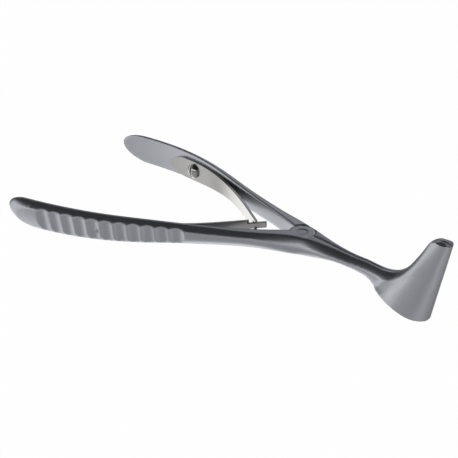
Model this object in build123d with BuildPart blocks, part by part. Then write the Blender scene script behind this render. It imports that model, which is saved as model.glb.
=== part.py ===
from build123d import *
import os
from math import cos, radians, sin, tan

# A nasal speculum with sprung handles, in millimetres. X runs along the
# instrument from the handle ends to the blades, Y runs across it and Z is up.
# It lies on the edges of its grips and on the rim of its closed funnel, at
# Z = 0. The origin is under its middle and the near arm is on the -Y side.
# Squeezing the handles together opens the two half funnels.

# Handles, measured along X from the hinge and across from the mid-plane
handle_length = 98.2
handle_spread = 29.35       # inner face of a handle at its end
bow_at = 59.0
bow_spread = 24.5           # the same at three places nearer to the hinge
middle_at = 37.0
middle_spread = 16.2
root_at = 21.0
root_spread = 9.6
grip_depth = 9.9            # the widest part of a grip, up and down
grip_thickness = 3.0
grip_ridge = 0.29           # its ridge is this share of the depth above its middle
waist_depth = 5.3           # the narrow part between grip and hinge
waist_thickness = 3.7
end_rounding = 11.0         # length of the rounded end

# Finger flutes across the outer face of each handle
flute_count = 11
flute_pitch = 4.65
flute_first = 17.0          # along the handle, from its end
flute_radius = 4.6
flute_depth = 0.6
flute_lean = 12.0           # slope of the flutes, in degrees

# Hinge: two ears of the near arm hold the tongue of the far arm
hinge_height = 11.5         # middle of the hinge above the table
hinge_depth = 5.6
ear_radius = 4.2
shoulder_width = 5.0         # half width of the two arms together at the hinge
ear_thickness = 1.5
tongue_radius = 3.4
lap_clearance = 0.05
rim_clearance = 0.08
pin_diameter = 3.0
pin_fit = 0.01
pin_clearance = 0.03
pin_recess = 0.05

# Shanks and the two half funnels
seam_gap = 0.2              # between the two arms along the mid-plane
shank_reach = 28.0          # from the hinge to the rear of the mouth
shank_depth = 3.7
shank_thickness = 2.5
shank_dip = 1.8             # the shank's middle sinks this much at the mouth
neck_height = 11.7          # top of the neck above the table
neck_setback = 1.6          # the neck stands this far ahead of the mouth's rear
mouth_length = 19.7
mouth_bulge = 6.4
mouth_tilt = 20.3
blade_height = 27.9
blade_thickness = 1.3
tip_length = 6.2
tip_bulge = 2.1
tip_lead = 6.2              # the tip's front stands this far ahead of the mouth's
tip_crown = 0.8             # seen from the side, the tip falls this much to its ends
tip_round = 0.35            # seen from the end, it falls this much to its sides
edge_width = 1.0            # a blade's width across its rear edge
widest_at = 0.4             # the funnel is widest at this share of its length
rear_reach = 0.66           # the same share, of the curve behind it

# Leaf springs, each held to the inner face of its handle by one screw
spring_thickness = 0.8
spring_seat = 0.06
spring_depth = 6.9
spring_waist = 4.3
spring_tail = 22.8          # along the handle, from its end
screw_at = 36.5
spring_lift = 43.5          # where a leaf parts from its handle
spring_meet = 18.0          # where the two leaves cross, from the hinge
spring_height = 10.6        # middle of the leaves where they cross
spring_rise = 5.7           # slope of the leaves along X, in degrees
spring_heading = 38.0       # each leaf's heading where they cross
tail_length = 9.0
tenon_depth = 2.0
tenon_length = 3.6          # past the crossing
tenon_root = 2.2            # before the crossing
fork_length = 1.5           # past the crossing
fork_root = 1.9             # before the crossing
fork_clearance = 0.2

# Spring screws
screw_head_diameter = 5.0
screw_head_height = 1.6
screw_dome = 0.95
screw_shank_diameter = 2.0
screw_hole_depth = 1.4
screw_fit = 0.02
slot_width = 0.7
slot_depth = 0.9

half_seam = seam_gap / 2
half_hinge = hinge_depth / 2
tongue_thickness = hinge_depth - 2 * (ear_thickness + lap_clearance)
stock = 0.4                 # left past the inner faces, then cut away
tilt = radians(mouth_tilt)

# Positions along X: the hinge stands so that the whole length is centred, less
# what the crown takes off the front of the tip
blade_reach = shank_reach + mouth_length * cos(tilt) + tip_lead
crown_loss = tip_crown * tip_lead / blade_height
hinge_x = (handle_length - blade_reach + crown_loss) / 2
handle_end = hinge_x - handle_length
tip_front = hinge_x + blade_reach
tip_rear = tip_front - tip_length
mouth_front = tip_front - tip_lead
hinge = Plane((hinge_x, 0, hinge_height))

# The handles slope down from the ears, and touch the table near their ends
slope_start = hinge_x - shoulder_width
handle_slope = (hinge_height - grip_depth / 2) / (slope_start - handle_end - end_rounding)


def slice_of_arm(plane, depth, widths, ridge_rise):
    """A slice across an arm: x is outward, flat inside and ridged outside.

    The widths are those of the top, the ridge and the bottom, without the stock.
    """
    top_width, ridge_width, bottom_width = [width + stock for width in widths]
    top = depth / 2
    ridge_height = ridge_rise * depth
    upper_pull = 0.5 * (top_width + ridge_width) + 0.30 * max(ridge_width - top_width, 0)
    lower_pull = 0.5 * (bottom_width + ridge_width) + 0.45 * max(ridge_width - bottom_width, 0)
    with BuildSketch(plane) as outline:
        with BuildLine():
            inner = Line((0, -top), (0, top))
            upper = Line(inner @ 1, (top_width, top))
            side = Bezier(upper @ 1, (upper_pull, 0.5 * (top + ridge_height)), (ridge_width, ridge_height))
            belly = Bezier(side @ 1, (lower_pull, 0.4 * ridge_height - 0.6 * top), (bottom_width, -top))
            Line(belly @ 1, inner @ 0)
        make_face()
    return outline.sketch


# The inner face of the near handle, seen from above, from its end to the hinge
with BuildLine(Plane((hinge_x, 0, 0))) as near_run:
    Spline(
        (-handle_length, -handle_spread),
        (-bow_at, -bow_spread),
        (-middle_at, -middle_spread),
        (-root_at, -root_spread),
        (-0.9 * shoulder_width, -0.38 * shoulder_width),
        (0.4 * shoulder_width, -half_seam),
        tangents=((1, 0.02), (1, 0)),
    )
run = near_run.line.edge()


def middle_height(x):
    """Height of the middle of a handle at a place along X."""
    return hinge_height - handle_slope * max(slope_start - x, 0)


def handle_plane(point, ahead):
    """Plane across the near handle, with its origin in the stock inside the face."""
    outward = Vector(ahead.Y, -ahead.X, 0)
    inside = point - outward * stock
    return Plane(origin=(inside.X, inside.Y, middle_height(point.X)), x_dir=outward, z_dir=-ahead)


# Handle slices: fraction of the way to the hinge, depth, height of the ridge
# as a share of the depth, and the widths at the top, the ridge and the bottom
grip = grip_thickness
waist = waist_thickness
hinge_width = shoulder_width - half_seam
arm_slices = []
for along, depth, ridge_rise, widths in [
    (0.0, 0.97 * grip_depth, grip_ridge, (0.30 * grip, 0.95 * grip, 0.30 * grip)),
    (0.1, grip_depth, grip_ridge, (0.28 * grip, grip, 0.30 * grip)),
    (0.2, grip_depth, grip_ridge, (0.28 * grip, grip, 0.30 * grip)),
    (0.3, 0.97 * grip_depth, grip_ridge, (0.30 * grip, grip, 0.30 * grip)),
    (0.4, 0.91 * grip_depth, grip_ridge, (0.28 * grip, grip, 0.32 * grip)),
    (0.5, 0.82 * grip_depth, grip_ridge, (0.28 * grip, grip, 0.34 * grip)),
    (0.6, 0.69 * grip_depth, 0.95 * grip_ridge, (0.30 * grip, 1.02 * grip, 0.38 * grip)),
    (0.7, 0.59 * grip_depth, 0.85 * grip_ridge, (0.34 * waist, 0.89 * waist, 0.38 * waist)),
    (0.8, waist_depth, 0.70 * grip_ridge, (0.56 * waist, waist, 0.50 * waist)),
    (0.9, hinge_depth, 0.02, (0.62 * hinge_width, 0.92 * hinge_width, 0.68 * hinge_width)),
    (1.0, hinge_depth, -0.08, (0.74 * hinge_width, hinge_width, 0.82 * hinge_width)),
]:
    plane = handle_plane(run @ along, run % along)
    arm_slices.append(slice_of_arm(plane, depth, widths, ridge_rise))


def seam_slice(upper, lower, widths, ridge_rise=0.0):
    """A slice from an upper to a lower point of the mid-plane."""
    along = (upper - lower).normalized()
    middle = (upper + lower) * 0.5
    origin = (middle.X, stock, middle.Z)
    plane = Plane(origin=origin, x_dir=(0, -1, 0), z_dir=Vector(0, -1, 0).cross(along))
    return slice_of_arm(plane, (upper - lower).length, widths, ridge_rise)


shank_slices = [arm_slices[-1]]
for along, depth, ridge_rise, ridge_width, top_share, bottom_share in [
    (0.17, 0.99 * hinge_depth, -0.09, 0.89 * shoulder_width, 0.66, 0.76),
    (0.29, 0.875 * hinge_depth, -0.11, 0.79 * shoulder_width, 0.56, 0.68),
    (0.50, 0.70 * hinge_depth, -0.13, 1.26 * shank_thickness, 0.45, 0.60),
    (0.71, shank_depth, -0.12, 1.06 * shank_thickness, 0.40, 0.64),
    (0.89, 1.15 * shank_depth, -0.06, shank_thickness, 0.40, 0.74),
]:
    middle = Vector(hinge_x + along * shank_reach, 0, hinge_height - shank_dip * along**2)
    reach = Vector(0, 0, depth / 2)
    widths = (top_share * ridge_width, ridge_width, bottom_share * ridge_width)
    shank_slices.append(seam_slice(middle + reach, middle - reach, widths, ridge_rise))


def rim_plane(rise):
    """Plane of the funnel's cross-section, with its origin on the front seam.

    The rise is 0 at the mouth and 1 at the tip.
    """
    slope = tilt * (1 - rise)
    origin = (mouth_front + tip_lead * rise, 0, blade_height * rise)
    return Plane(origin=origin, x_dir=(cos(slope), 0, -sin(slope)), z_dir=(sin(slope), 0, cos(slope)))


def rim_size(rise):
    """Length and half width of the funnel's outside, at the same rise."""
    length = mouth_length + (tip_length - mouth_length) * rise
    return length, mouth_bulge + (tip_bulge - mouth_bulge) * rise


def rim_point(rise, turn):
    """A point of the outside, turned from the front seam by an angle."""
    length, bulge = rim_size(rise)
    reach = widest_at if turn < 90 else rear_reach
    angle = radians(turn)
    local = Vector(length * (reach * cos(angle) - widest_at), -bulge * sin(angle), 0)
    return rim_plane(rise).from_local_coords(local)


# The rear edge of the blade, seen from the side
neck_x = hinge_x + shank_reach + neck_setback
rear_points = [
    (neck_x, neck_height),
    (neck_x + 0.44 * mouth_length, neck_height - 0.6),
    (tip_rear - 0.30 * mouth_length, blade_height - 0.46 * mouth_length),
    (tip_rear, blade_height),
]
with BuildLine(Plane.XZ) as rear_edge:
    Bezier(*rear_points)


def blade_slice(upper, lower, swell):
    """A slice of the blade between points of its upper edge and its mouth."""
    flat_upper = Vector(upper.X, 0, upper.Z)
    flat_lower = Vector(lower.X, 0, lower.Z)
    ridge_width = swell - 0.5 * (upper.Y + lower.Y)
    return seam_slice(flat_upper, flat_lower, (-upper.Y, ridge_width, -lower.Y))


rear_turns = [155.0, 140.0, 125.0, 113.0, 102.0, 92.0]
for number, turn in enumerate(rear_turns):
    up_the_edge = number / (len(rear_turns) - 1)
    upper = rear_edge.line @ up_the_edge - Vector(0, edge_width, 0)
    swell = 0.1 + 0.55 * (1 - up_the_edge) ** 2
    shank_slices.append(blade_slice(upper, rim_point(0, turn), swell))

# Around the front they reach above the tip, where they are cut off level
for rise, tip_turn, turn in [
    (1.08, 118.0, 69.0),
    (1.12, 80.0, 46.0),
    (1.12, 40.0, 23.0),
    (1.12, 0.0, 0.0),
]:
    upper = rim_point(rise, tip_turn)
    shank_slices.append(blade_slice(upper, rim_point(0, turn), 0.2 * half_seam))


def hollow_slice(rise, wall):
    """The hollow of a half funnel inside a wall, at the same rise as its outside."""
    length, bulge = rim_size(rise)
    centre = (-widest_at * length, stock)
    front_reach = widest_at * length - blade_thickness
    back_reach = (1 - widest_at) * length - wall
    depth = bulge - wall + stock
    with BuildSketch(rim_plane(rise)) as hollow:
        with BuildLine():
            back = EllipticalCenterArc(centre, back_reach, depth, start_angle=180, arc_size=90)
            front = EllipticalCenterArc(centre, front_reach, depth, start_angle=270, arc_size=90)
            Line(front @ 1, back @ 0)
        make_face()
    return hollow.sketch


# Seat of the near screw, on the inner face of the near handle
meet_x = hinge_x - spring_meet
slope = radians(spring_rise)
screw_point = run.position_at(screw_at, position_mode=PositionMode.LENGTH)
screw_ahead = run.tangent_at(screw_at, position_mode=PositionMode.LENGTH)
screw_seat = Plane(
    origin=(screw_point.X, screw_point.Y, spring_height + tan(slope) * (screw_point.X - meet_x)),
    x_dir=screw_ahead,
    z_dir=(-screw_ahead.Y, screw_ahead.X, 0),
)

# The hollow stays inside the curved rear wall of the blade
with BuildPart() as hollow:
    loft([
        hollow_slice(-0.05, blade_thickness),
        hollow_slice(0.3, 1.25 * blade_thickness),
        hollow_slice(0.65, 1.45 * blade_thickness),
        hollow_slice(1.15, blade_thickness),
    ])
    with BuildSketch(Plane.XZ) as hollow_side:
        with BuildLine():
            back = Bezier(*[(x + blade_thickness, z - blade_thickness) for x, z in rear_points])
            Polyline(
                back @ 1,
                (tip_rear + blade_thickness, 2 * blade_height),
                (tip_front + tip_length, 2 * blade_height),
                (tip_front + tip_length, -blade_height),
                (hinge_x + shank_reach, -blade_height),
                back @ 0,
            )
        make_face()
    extrude(amount=2 * mouth_bulge, both=True, mode=Mode.INTERSECT)

# What is cut away inside the handle, and past the seam ahead of the hinge
with BuildPart() as inner_waste:
    with BuildSketch() as inner_plan:
        with BuildLine():
            add(run)
            Polyline(
                run @ 1,
                (tip_front + tip_length, -half_seam),
                (tip_front + tip_length, 2 * handle_spread),
                (handle_end, 2 * handle_spread),
                run @ 0,
            )
        make_face()
    extrude(amount=2 * blade_height, both=True)

# What is cut away around the rounded end of the grip
end_middle = handle_end + end_rounding
end_face = run.position_at(end_rounding, position_mode=PositionMode.LENGTH)
end_shape = scale(Sphere(1), by=(end_rounding, 1.15 * grip, 0.5 * grip_depth + 0.02))
with BuildPart() as end_waste:
    with Locations((end_middle, end_face.Y, middle_height(end_middle))):
        Box(2 * end_rounding, 4 * grip, 2 * grip_depth, align=(Align.MAX, Align.CENTER, Align.CENTER))
        add(end_shape, mode=Mode.SUBTRACT)

# What is cut away over the tip, which is crowned along and across
tip_middle = tip_front - tip_length / 2
with BuildPart() as tip_waste:
    with Locations((tip_middle, 0, blade_height - 3 * tip_crown)):
        Box(
            4 * tip_length,
            4 * mouth_bulge,
            blade_height,
            align=(Align.CENTER, Align.CENTER, Align.MIN),
        )
    crown_across = (tip_bulge**2 + tip_round**2) / (2 * tip_round)
    crown_along = (tip_length**2 / 4 + tip_crown**2) / (2 * tip_crown)
    with BuildPart(mode=Mode.SUBTRACT):
        with Locations((tip_middle, 0, blade_height - crown_across)):
            Cylinder(crown_across, 4 * tip_length, rotation=(0, 90, 0))
        with Locations((tip_middle, 0, blade_height - crown_along)):
            Cylinder(crown_along, 4 * mouth_bulge, rotation=(90, 0, 0), mode=Mode.INTERSECT)

with BuildPart() as arm_blank:
    loft(arm_slices)
    add(end_waste.part, mode=Mode.SUBTRACT)
    # Finger flutes, leaning with the outer face
    lean = radians(flute_lean)
    flute_places = []
    for number in range(flute_count):
        distance = flute_first + number * flute_pitch
        point = run.position_at(distance, position_mode=PositionMode.LENGTH)
        ahead = run.tangent_at(distance, position_mode=PositionMode.LENGTH)
        outward = Vector(ahead.Y, -ahead.X, 0)
        middle = point + outward * (grip - flute_depth + flute_radius / cos(lean))
        rise = Vector(0, 0, middle_height(point.X) + grip_ridge * grip_depth)
        upward = outward * sin(lean) + Vector(0, 0, cos(lean))
        flute_places.append(Plane(origin=middle + rise, x_dir=ahead, z_dir=upward))
    with Locations(*flute_places):
        Cylinder(flute_radius, 4 * grip_depth, mode=Mode.SUBTRACT)
    loft(shank_slices)
    add(hollow.part, mode=Mode.SUBTRACT)
    add(tip_waste.part, mode=Mode.SUBTRACT)
    add(inner_waste.part, mode=Mode.SUBTRACT)
    # Blind hole for the spring's screw
    with Locations(screw_seat):
        Cylinder(screw_shank_diameter / 2 + screw_fit, 2 * screw_hole_depth, mode=Mode.SUBTRACT)

ear_level = half_hinge - ear_thickness / 2
with BuildPart() as near_arm:
    add(arm_blank.part)
    # Ears above and below the tongue, and the slot that takes its edge
    with Locations(hinge.offset(ear_level), hinge.offset(-ear_level)):
        Cylinder(
            ear_radius,
            ear_thickness,
            arc_size=240,
            rotation=(0, 0, -30),
            align=(Align.NONE, Align.NONE, Align.CENTER),
        )
    with Locations(hinge):
        Cylinder(tongue_radius + rim_clearance, tongue_thickness + 2 * lap_clearance, mode=Mode.SUBTRACT)
        Cylinder(pin_diameter / 2 + pin_fit, 2 * hinge_depth, mode=Mode.SUBTRACT)

with BuildPart() as far_arm:
    mirror(arm_blank.part, about=Plane.XZ)
    # Recesses for the ears, and the tongue between them
    with Locations(hinge.offset(half_hinge), hinge.offset(-half_hinge)):
        Cylinder(ear_radius + rim_clearance, 2 * (ear_thickness + lap_clearance), mode=Mode.SUBTRACT)
    with Locations(hinge):
        Cylinder(tongue_radius, tongue_thickness)
        Cylinder(pin_diameter / 2 + pin_clearance, 2 * hinge_depth, mode=Mode.SUBTRACT)

with BuildPart() as joint_pin:
    with Locations(hinge):
        Cylinder(pin_diameter / 2, hinge_depth - 2 * pin_recess)

# The near leaf seen from above: along its handle, then across the mid-plane
seat_offset = spring_seat + spring_thickness / 2
seat_points = []
for share in [0.0, 0.2, 0.4, 0.6, 0.8, 1.0]:
    distance = spring_tail + share * (spring_lift - spring_tail)
    point = run.position_at(distance, position_mode=PositionMode.LENGTH)
    ahead = run.tangent_at(distance, position_mode=PositionMode.LENGTH)
    seat_points.append(point + Vector(-ahead.Y, ahead.X, 0) * seat_offset)
lift_heading = run.tangent_at(spring_lift, position_mode=PositionMode.LENGTH)
tail_heading = run.tangent_at(spring_tail, position_mode=PositionMode.LENGTH)
heading = Vector(cos(radians(spring_heading)), sin(radians(spring_heading)), 0)
meet = Vector(meet_x, 0, 0)
free_reach = (meet - seat_points[-1]).length
with BuildPart() as leaf_sheet:
    with BuildSketch() as leaf_plan:
        with BuildLine() as leaf_line:
            seated = Spline(*seat_points, tangents=(tail_heading, lift_heading))
            Bezier(
                seated @ 1,
                seated @ 1 + lift_heading * (0.40 * free_reach),
                meet - heading * (0.24 * free_reach),
                meet,
            )
            Line(meet, meet + heading * tenon_length)
        trace(leaf_line.line, spring_thickness)
    extrude(amount=2 * hinge_height)
    with Locations(screw_seat):
        Cylinder(screw_shank_diameter / 2 + 2 * screw_fit, 4 * spring_thickness, mode=Mode.SUBTRACT)

# The leaf seen from the side: a pointed tail, a broad root and a narrow end.
# Both leaves share the outline as far as the place where they cross.
leaf_side = Plane(origin=(meet_x, 0, spring_height), x_dir=(cos(slope), 0, sin(slope)), z_dir=(0, -1, 0))
tail_x = -(meet_x - seat_points[0].X) / cos(slope)
lift_x = -(meet_x - seat_points[-1].X) / cos(slope)
end_half = 0.48 * spring_waist


def leaf_outline(front):
    """Side outline of a leaf whose end is past the crossing by a distance."""
    with BuildSketch() as outline:
        with BuildLine():
            for side in (1, -1):
                root = (tail_x + tail_length, side * 0.52 * spring_depth)
                ThreePointArc(
                    (tail_x, 0),
                    (tail_x + 0.42 * tail_length, side * 0.36 * spring_depth),
                    root,
                )
                Spline(
                    root,
                    (lift_x, side * 0.49 * spring_depth),
                    (0.55 * lift_x, side * 0.54 * spring_waist),
                    (0, side * end_half),
                    tangents=((1, 0), (1, 0)),
                )
                Line((0, side * end_half), (front, side * end_half))
            Line((front, -end_half), (front, end_half))
        make_face()
    return outline.sketch


crossing = cos(radians(spring_heading))
with BuildPart() as near_spring:
    add(leaf_sheet.part)
    with BuildSketch(leaf_side) as near_side:
        add(leaf_outline(tenon_length * crossing))
        # Shoulders, and the tenon between them
        with Locations((-tenon_root * crossing, 0)):
            Rectangle(2 * spring_depth, spring_depth, align=(Align.MIN, Align.CENTER), mode=Mode.SUBTRACT)
            tenon_span = (tenon_root + tenon_length) * crossing
            Rectangle(tenon_span, tenon_depth, align=(Align.MIN, Align.CENTER))
    extrude(amount=2 * handle_spread, both=True, mode=Mode.INTERSECT)

with BuildPart() as far_spring:
    mirror(leaf_sheet.part, about=Plane.XZ)
    with BuildSketch(leaf_side) as far_side:
        add(leaf_outline(fork_length * crossing))
        # Open fork around the tenon
        fork_depth = tenon_depth + 2 * fork_clearance
        with Locations((-fork_root * crossing, 0)):
            Rectangle(2 * spring_depth, fork_depth, align=(Align.MIN, Align.CENTER), mode=Mode.SUBTRACT)
    extrude(amount=2 * handle_spread, both=True, mode=Mode.INTERSECT)

head_base = 2 * spring_seat + spring_thickness
head_top = head_base + screw_head_height
with BuildPart() as near_spring_screw:
    profile_plane = Plane(origin=screw_seat.origin, x_dir=screw_seat.x_dir, z_dir=-screw_seat.y_dir)
    with BuildSketch(profile_plane) as screw_profile:
        with BuildLine():
            stem = Polyline(
                (0, head_top),
                (0, -0.95 * screw_hole_depth),
                (screw_shank_diameter / 2, -0.95 * screw_hole_depth),
                (screw_shank_diameter / 2, head_base),
                (screw_head_diameter / 2, head_base),
                (screw_head_diameter / 2, head_top - screw_dome),
            )
            TangentArc(stem @ 0, stem @ 1, tangent=(1, 0))
        make_face()
    revolve(axis=Axis(screw_seat.origin, screw_seat.z_dir))
    with Locations(screw_seat.offset(head_top)):
        Box(slot_width, 2 * screw_head_diameter, 2 * slot_depth, mode=Mode.SUBTRACT)

with BuildPart() as far_spring_screw:
    mirror(near_spring_screw.part, about=Plane.XZ)

os.makedirs("parts", exist_ok=True)
near_arm.part.label = "near_arm"
export_step(near_arm.part, "parts/near_arm.step")
far_arm.part.label = "far_arm"
export_step(far_arm.part, "parts/far_arm.step")
joint_pin.part.label = "joint_pin"
export_step(joint_pin.part, "parts/joint_pin.step")
near_spring.part.label = "near_spring"
export_step(near_spring.part, "parts/near_spring.step")
far_spring.part.label = "far_spring"
export_step(far_spring.part, "parts/far_spring.step")
near_spring_screw.part.label = "near_spring_screw"
export_step(near_spring_screw.part, "parts/near_spring_screw.step")
far_spring_screw.part.label = "far_spring_screw"
export_step(far_spring_screw.part, "parts/far_spring_screw.step")
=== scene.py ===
from math import cos, radians, sin

import bmesh
import bpy
from mathutils import Matrix, Vector


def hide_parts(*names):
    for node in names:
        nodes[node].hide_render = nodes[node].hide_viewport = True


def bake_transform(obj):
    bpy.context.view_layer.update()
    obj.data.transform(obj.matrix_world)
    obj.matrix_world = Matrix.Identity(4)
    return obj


# The nasal speculum's looks, in metres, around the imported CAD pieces.

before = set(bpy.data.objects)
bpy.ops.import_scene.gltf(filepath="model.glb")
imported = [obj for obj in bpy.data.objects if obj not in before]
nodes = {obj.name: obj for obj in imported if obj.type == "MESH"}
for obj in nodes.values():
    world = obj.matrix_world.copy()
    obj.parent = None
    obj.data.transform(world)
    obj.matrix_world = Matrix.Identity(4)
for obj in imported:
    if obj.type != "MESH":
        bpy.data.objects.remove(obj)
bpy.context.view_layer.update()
scene = bpy.context.scene


# Materials

class Tree:
    """The node tree of a material or world, with short ways to add and join nodes."""

    def __init__(self, owner):
        owner.use_nodes = True
        self.owner = owner
        self.nodes = owner.node_tree.nodes
        self.links = owner.node_tree.links
        self.nodes.clear()

    def add(self, kind, **settings):
        """A new node of this kind with these settings."""
        node = self.nodes.new(kind)
        for key, value in settings.items():
            setattr(node, key, value)
        return node

    def join(self, source, target):
        self.links.new(source, target)

    def math(self, operation, first, second):
        """What the operation makes of two values, each a number or a socket."""
        node = self.add("ShaderNodeMath", operation=operation)
        for socket, value in zip(node.inputs, (first, second)):
            if isinstance(value, bpy.types.NodeSocket):
                self.join(value, socket)
            else:
                socket.default_value = value
        return node.outputs[0]

    def span(self, value, low, high, first=0.0, last=1.0, kind="LINEAR"):
        """A value that runs from first to last, carried to the range from low to high."""
        node = self.add("ShaderNodeMapRange", interpolation_type=kind)
        self.join(value, node.inputs["Value"])
        node.inputs["From Min"].default_value = first
        node.inputs["From Max"].default_value = last
        node.inputs["To Min"].default_value = low
        node.inputs["To Max"].default_value = high
        return node.outputs["Result"]


def noise(tree, where, scale, detail, roughness):
    """Soft noise from 0 to 1, with this many waves in a unit of length."""
    node = tree.add("ShaderNodeTexNoise")
    tree.join(where, node.inputs["Vector"])
    node.inputs["Scale"].default_value = scale
    node.inputs["Detail"].default_value = detail
    node.inputs["Roughness"].default_value = roughness
    return node.outputs["Fac"]


darker = 0.90                   # the colour's share between the polishing marks
lighter = 1.12                  # and on them
smudge_scale = 130.0
blasting_scale = 5200.0
bump_distance = 0.00002
blade_walls = (0.045, 0.055)    # edges turn from thick to thin between these X


def steel(name, colour, roughness, edge, grain, grain_depth, thin_edge=None):
    """Stainless steel with a fine grain, soft smudges and rounded edges.

    The roughness is its least and its most. The edge is the radius to which
    edges look rounded, with a smaller one on the thin walls of the blades where
    it is given. The grain is the stretch of the polishing marks along X, Y and Z.
    """
    tree = Tree(bpy.data.materials.new(name))
    place = tree.add("ShaderNodeTexCoord").outputs["Object"]
    stretched = tree.add("ShaderNodeMapping")
    tree.join(place, stretched.inputs["Vector"])
    stretched.inputs["Scale"].default_value = grain
    marks = noise(tree, stretched.outputs["Vector"], 1.0, 4.0, 0.6)
    smudges = noise(tree, place, smudge_scale, 3.0, 0.55)
    blasting = noise(tree, place, blasting_scale, 2.0, 0.5)

    shader = tree.add("ShaderNodeBsdfPrincipled")
    shader.inputs["Metallic"].default_value = 1.0
    shader.inputs["IOR"].default_value = 2.5
    tint = tree.add("ShaderNodeMix", data_type="RGBA")
    tree.join(tree.math("MULTIPLY", marks, smudges), tint.inputs["Factor"])
    tint.inputs["A"].default_value = (*[darker * c for c in colour], 1.0)
    tint.inputs["B"].default_value = (*[lighter * c for c in colour], 1.0)
    tree.join(tint.outputs["Result"], shader.inputs["Base Color"])
    wear = [tree.math("MULTIPLY", smudges, 0.65), tree.math("MULTIPLY", marks, 0.35)]
    tree.join(tree.span(tree.math("ADD", *wear), *roughness), shader.inputs["Roughness"])

    rounded = tree.add("ShaderNodeBevel", samples=8)
    rounded.inputs["Radius"].default_value = edge
    if thin_edge is not None:
        along = tree.add("ShaderNodeSeparateXYZ")
        tree.join(place, along.inputs["Vector"])
        radius = tree.span(along.outputs["X"], edge, thin_edge, *blade_walls)
        tree.join(radius, rounded.inputs["Radius"])
    bump = tree.add("ShaderNodeBump")
    bump.inputs["Strength"].default_value = grain_depth
    bump.inputs["Distance"].default_value = bump_distance
    height = tree.math("ADD", marks, tree.math("MULTIPLY", blasting, 0.5))
    tree.join(height, bump.inputs["Height"])
    tree.join(rounded.outputs["Normal"], bump.inputs["Normal"])
    tree.join(bump.outputs["Normal"], shader.inputs["Normal"])
    output = tree.add("ShaderNodeOutputMaterial")
    tree.join(shader.outputs["BSDF"], output.inputs["Surface"])
    return tree.owner


satin = steel(
    "satin steel",
    colour=(0.485, 0.50, 0.54),
    roughness=(0.26, 0.38),
    edge=0.0013,
    thin_edge=0.0003,
    grain=(260.0, 2600.0, 2600.0),
    grain_depth=0.22,
)
leaf_steel = steel(
    "leaf steel",
    colour=(0.43, 0.425, 0.415),
    roughness=(0.18, 0.28),
    edge=0.0003,
    grain=(300.0, 3000.0, 3000.0),
    grain_depth=0.15,
)
screw_steel = steel(
    "screw steel",
    colour=(0.50, 0.50, 0.50),
    roughness=(0.12, 0.20),
    edge=0.00018,
    grain=(1500.0, 1500.0, 1500.0),
    grain_depth=0.08,
)
pin_steel = steel(
    "pin steel",
    colour=(0.44, 0.45, 0.48),
    roughness=(0.24, 0.34),
    edge=0.0001,
    grain=(1800.0, 1800.0, 1800.0),
    grain_depth=0.15,
)

finish_of = {
    "near_arm": (satin, "arms"),
    "far_arm": (satin, "arms"),
    "joint_pin": (pin_steel, "pin"),
    "near_spring": (leaf_steel, "springs"),
    "far_spring": (leaf_steel, "springs"),
    "near_spring_screw": (screw_steel, "screws"),
    "far_spring_screw": (screw_steel, "screws"),
}
leaves = ("near_spring", "far_spring")
sharp_angle = radians(24)


def dress(piece, node):
    """Gives a piece its finish, and smooth shading between its real edges."""
    material, slot = finish_of[node]
    piece.data.materials.clear()
    piece.data.materials.append(material)
    piece.data.shade_smooth()
    piece.data.set_sharp_from_angle(angle=sharp_angle)


for node, piece in nodes.items():
    if node not in leaves:
        dress(piece, node)


# The leaves bend in use; each gets a finer copy of its mesh in place of the CAD leaf

leaf_edge = 0.0016              # the longest edge in that mesh
halvings = 6                    # no edge is halved more often than this
same_place = 1e-7


def fine_copy(node, longest):
    """A copy of a CAD node with no edge longer than the given length."""
    mesh = nodes[node].data.copy()
    mesh.name = node + "_leaf"
    piece = bpy.data.objects.new(node + "_leaf", mesh)
    scene.collection.objects.link(piece)
    work = bmesh.new()
    work.from_mesh(mesh)
    bmesh.ops.remove_doubles(work, verts=work.verts, dist=same_place)
    for _ in range(halvings):
        long_edges = [edge for edge in work.edges if edge.calc_length() > longest]
        if not long_edges:
            break
        bmesh.ops.subdivide_edges(work, edges=long_edges, cuts=1)
        bmesh.ops.triangulate(work, faces=[face for face in work.faces if len(face.verts) > 3])
    work.to_mesh(mesh)
    work.free()
    return piece


for node, own, other, side in [
    ("near_spring", "near_half", "far_half", -1),
    ("far_spring", "far_half", "near_half", 1),
]:
    leaf = fine_copy(node, leaf_edge)
    dress(leaf, node)
    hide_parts(node)
    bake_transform(leaf)


# Surroundings: white to the camera, and in reflections a plain studio, as
# bright as the level part of the direction says. A brightness of 1 is white.

smooth = "SMOOTHSTEP"
left_light = 1.12               # at the left
front_light = 0.44              # in front
left_turn = (-0.98, -0.50)      # it runs from one to the other between these X
behind_share = 0.62             # this share of it is left behind the object's middle
behind_turn = (-0.26, -0.08)    # with a soft edge between these Y
right_lift = 0.22               # added at the right
right_turn = (0.3, 1.0)         # between these X
back_left_way = (-0.88, 0.47, 0.0)
back_left_cone = (0.86, 0.97)   # cosines of the angles from that way, outer and inner
back_left_wall = 0.08           # share of the light on the wall there
back_left_floor = (0.19, 2.75)  # and on the floor there, far off and close by
floor_slopes = (0.30, 0.48)     # sines of the angles at which that floor is seen
room_light = 0.75               # what the room gives to matt surfaces
floor_colour = (0.92, 0.92, 0.92, 1.0)
floor_width = 8.0
floor_drop = 0.0001             # it lies this far below the object
glow_in_mirrors = 0.9           # share of the floor that glows in reflections
glow_to_camera = 0.98           # and to the camera, which leaves the rest for the shadow
card_place = (-0.05, -0.45, 0.36)
card_width = 2.6
card_colour = (1.0, 1.0, 1.06, 1.0)
card_light = (0.03, 0.62)       # its brightness in front and at the back
card_turn = (0.30, 0.58)        # it runs from one to the other between these Y
lamp_target = (0.0, 0.0, 0.01)


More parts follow.
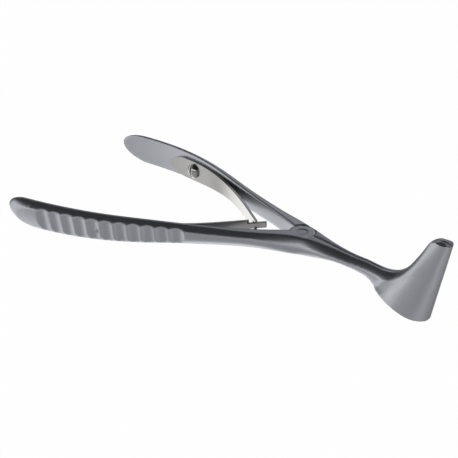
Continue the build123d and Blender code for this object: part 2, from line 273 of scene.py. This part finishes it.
def level_direction(tree, direction, sign):
    """The direction's level part at unit length, turned round by a sign of -1."""
    flat = tree.add("ShaderNodeVectorMath", operation="MULTIPLY")
    tree.join(direction, flat.inputs[0])
    flat.inputs[1].default_value = (sign, sign, 0.0)
    level = tree.add("ShaderNodeVectorMath", operation="NORMALIZE")
    tree.join(flat.outputs["Vector"], level.inputs[0])
    return level.outputs["Vector"]


def sideways(tree, level):
    """The studio's brightness from its left side over its front to its right side."""
    parts = tree.add("ShaderNodeSeparateXYZ")
    tree.join(level, parts.inputs["Vector"])
    left = tree.span(parts.outputs["X"], left_light, front_light, *left_turn, smooth)
    behind = tree.span(parts.outputs["Y"], 1.0, behind_share, *behind_turn, smooth)
    right = tree.span(parts.outputs["X"], 0.0, right_lift, *right_turn, smooth)
    return tree.math("ADD", tree.math("MULTIPLY", left, behind), right)


def back_left(tree, level, elsewhere, there):
    """A value that changes as the direction turns to the back left."""
    toward = tree.add("ShaderNodeVectorMath", operation="DOT_PRODUCT")
    tree.join(level, toward.inputs[0])
    toward.inputs[1].default_value = back_left_way
    return tree.span(toward.outputs["Value"], elsewhere, there, *back_left_cone, smooth)


# The floor: white to the camera with the object's shadow, the studio's
# brightness in reflections, and matt to the rest
floor_tree = Tree(bpy.data.materials.new("pale floor"))
seen = floor_tree.add("ShaderNodeLightPath").outputs
mirrored = floor_tree.math("MAXIMUM", seen["Is Glossy Ray"], seen["Is Transmission Ray"])
diffuse = floor_tree.add("ShaderNodeBsdfDiffuse")
diffuse.inputs["Color"].default_value = floor_colour
glow = floor_tree.add("ShaderNodeEmission")
incoming = floor_tree.add("ShaderNodeNewGeometry").outputs["Incoming"]
level = level_direction(floor_tree, incoming, -1.0)
steepness = floor_tree.add("ShaderNodeSeparateXYZ")
floor_tree.join(incoming, steepness.inputs["Vector"])
there = floor_tree.span(steepness.outputs["Z"], *back_left_floor, *floor_slopes, smooth)
lift = floor_tree.math("SUBTRACT", there, 1.0)
lift = floor_tree.math("MULTIPLY", lift, back_left(floor_tree, level, 0.0, 1.0))
lift = floor_tree.math("ADD", lift, 1.0)
shade = floor_tree.math("MULTIPLY", sideways(floor_tree, level), lift)
brightness = floor_tree.add("ShaderNodeMix", data_type="FLOAT")
floor_tree.join(seen["Is Camera Ray"], brightness.inputs["Factor"])
floor_tree.join(shade, brightness.inputs["A"])
brightness.inputs["B"].default_value = 1.0
floor_tree.join(brightness.outputs["Result"], glow.inputs["Strength"])
mix = floor_tree.add("ShaderNodeMixShader")
shares = [
    floor_tree.math("MULTIPLY", mirrored, glow_in_mirrors),
    floor_tree.math("MULTIPLY", seen["Is Camera Ray"], glow_to_camera),
]
floor_tree.join(floor_tree.math("ADD", *shares), mix.inputs["Fac"])
floor_tree.join(diffuse.outputs["BSDF"], mix.inputs[1])
floor_tree.join(glow.outputs["Emission"], mix.inputs[2])
floor_output = floor_tree.add("ShaderNodeOutputMaterial")
floor_tree.join(mix.outputs["Shader"], floor_output.inputs["Surface"])

bpy.ops.mesh.primitive_plane_add(size=floor_width, location=(0.0, 0.0, -floor_drop))
floor = bpy.context.object
floor.name = "floor"
floor.data.materials.append(floor_tree.owner)

# The world: white to the camera, the studio's brightness in reflections, and
# an even light for the rest
world_tree = Tree(bpy.data.worlds.new("studio"))
scene.world = world_tree.owner
path = world_tree.add("ShaderNodeLightPath").outputs
direction = world_tree.add("ShaderNodeTexCoord").outputs["Generated"]
level = level_direction(world_tree, direction, 1.0)
wall = back_left(world_tree, level, 1.0, back_left_wall)
reflected = world_tree.math("MULTIPLY", sideways(world_tree, level), wall)
chosen = world_tree.add("ShaderNodeMix", data_type="FLOAT")
world_tree.join(path["Is Glossy Ray"], chosen.inputs["Factor"])
chosen.inputs["A"].default_value = room_light
world_tree.join(reflected, chosen.inputs["B"])
background = world_tree.add("ShaderNodeBackground")
background.inputs["Color"].default_value = (1.0, 1.0, 1.0, 1.0)
strength = world_tree.math("MAXIMUM", chosen.outputs["Result"], path["Is Camera Ray"])
world_tree.join(strength, background.inputs["Strength"])
world_output = world_tree.add("ShaderNodeOutputWorld")
world_tree.join(background.outputs["Background"], world_output.inputs["Surface"])

# A dark card over the object, paler toward its back, seen only in reflections
card_tree = Tree(bpy.data.materials.new("dark card"))
card_shade = card_tree.add("ShaderNodeEmission")
card_shade.inputs["Color"].default_value = card_colour
across = card_tree.add("ShaderNodeSeparateXYZ")
position = card_tree.add("ShaderNodeNewGeometry").outputs["Position"]
card_tree.join(position, across.inputs["Vector"])
backward = card_tree.span(across.outputs["Y"], *card_light, *card_turn, smooth)
card_tree.join(backward, card_shade.inputs["Strength"])
card_output = card_tree.add("ShaderNodeOutputMaterial")
card_tree.join(card_shade.outputs["Emission"], card_output.inputs["Surface"])
bpy.ops.mesh.primitive_plane_add(size=1.0, location=card_place)
card = bpy.context.object
card.scale = (card_width, card_width, 1.0)
card.name = "dark_card"
card.data.materials.append(card_tree.owner)
card.visible_camera = False
card.visible_diffuse = False
card.visible_shadow = False
card.visible_transmission = False


def area_light(name, where, width, height, watts):
    """A soft rectangular lamp that shines at the object."""
    lamp = bpy.data.lights.new(name, "AREA")
    lamp.shape = "RECTANGLE"
    lamp.size = width
    lamp.size_y = height
    lamp.energy = watts
    holder = bpy.data.objects.new(name, lamp)
    holder.location = where
    aim = Vector(lamp_target) - Vector(where)
    holder.rotation_mode = "QUATERNION"
    holder.rotation_quaternion = aim.to_track_quat("-Z", "Y")
    scene.collection.objects.link(holder)


area_light("key", where=(-0.29, -0.80, 0.11), width=1.00, height=0.16, watts=0.6)
area_light("fill", where=(0.60, -0.45, 0.25), width=0.30, height=0.20, watts=0.25)


# Camera at the photograph's place

azimuth = radians(37.02)
elevation = radians(29.35)
distance = 0.49996
target = Vector((-0.005669, 0.0, 0.00563))
back = Vector((sin(azimuth) * cos(elevation), -cos(azimuth) * cos(elevation), sin(elevation)))
right = Vector((cos(azimuth), sin(azimuth), 0.0))
up = back.cross(right)
lens = bpy.data.cameras.new("camera")
lens.sensor_width = 36.0
lens.lens = 121.43
lens.clip_start = 0.01
lens.clip_end = 50.0
camera = bpy.data.objects.new("camera", lens)
camera.rotation_mode = "QUATERNION"
camera.rotation_quaternion = Matrix((right, up, back)).transposed().to_quaternion()
camera.location = target + back * distance
scene.collection.objects.link(camera)
scene.camera = camera

scene.view_settings.view_transform = "Standard"
